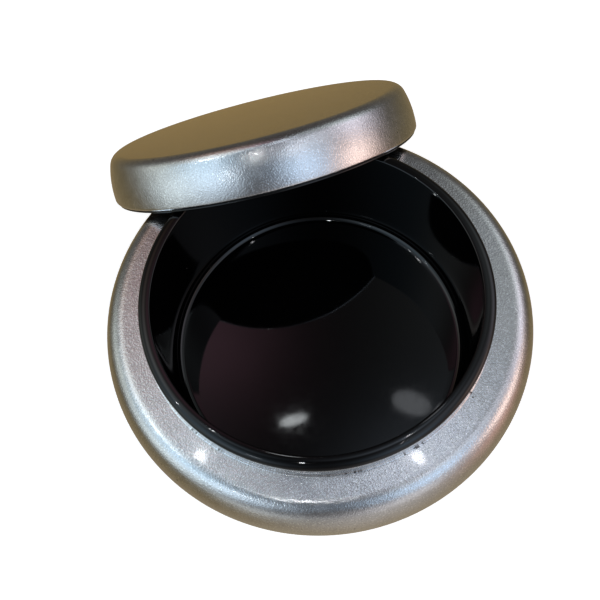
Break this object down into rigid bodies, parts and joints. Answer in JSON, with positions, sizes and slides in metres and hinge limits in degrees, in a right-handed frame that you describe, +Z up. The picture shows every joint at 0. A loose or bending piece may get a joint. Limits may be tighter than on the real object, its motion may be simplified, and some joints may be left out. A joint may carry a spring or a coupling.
{
  "type": "dappen dish",
  "caption": "Squat round dappen dish with a black inner cup in a silver-leafed body, and a loose silver cap lid leaning on its neck.",
  "frame": {"origin": "centre of the flat base that the dish stands on", "axes": "+Z up along the dish's axis of revolution; +Y towards the back, where the lid leans; X across"},
  "size_m": [0.12, 0.1644, 0.0772],
  "materials": {
    "silver_leaf": "silver leaf on lacquered wood, clear coated",
    "black_lacquer": "polished black lacquer"
  },
  "bodies": {
    "dish": {"bowl_body": "silver_leaf", "inner_cup": "black_lacquer"},
    "lid": {"lid_shell": "silver_leaf", "lid_liner": "black_lacquer"}
  },
  "joints": [
    {"name": "lid_lift", "type": "slide", "parent": "dish", "child": "lid", "axis": [0, 0, 1], "range_m": [0, 0.09]}
  ]
}
